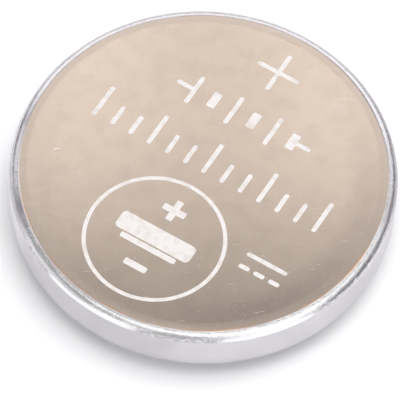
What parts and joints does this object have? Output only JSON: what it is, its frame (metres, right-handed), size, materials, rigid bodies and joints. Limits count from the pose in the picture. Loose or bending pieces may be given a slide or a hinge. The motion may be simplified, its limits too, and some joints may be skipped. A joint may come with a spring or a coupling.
{
  "type": "lithium coin cell",
  "caption": "Flat round lithium coin cell: a drawn metal can rolled in over a plastic sealing ring and a stepped negative cap, with its electrodes inside.",
  "frame": {"origin": "centre of the negative contact face, which the cell stands on", "axes": "+Z along the cell's axis, from the negative contact to the wide positive face; X and Y are equal"},
  "size_m": [0.016, 0.016, 0.0032],
  "materials": {
    "can_nickel": "satin nickel plate, warm",
    "gasket_plastic": "natural polypropylene",
    "cap_nickel": "satin nickel plate",
    "collector_steel": "plain stainless sheet",
    "pellet_black": "pressed powder, matt",
    "separator_felt": "nonwoven felt",
    "lithium_metal": "dull soft metal"
  },
  "bodies": {
    "root": {"positive_can": "can_nickel", "sealing_gasket": "gasket_plastic", "negative_cap": "cap_nickel", "cathode_collector": "collector_steel", "cathode_pellet": "pellet_black", "separator": "separator_felt", "lithium_anode": "lithium_metal"}
  },
  "joints": []
}
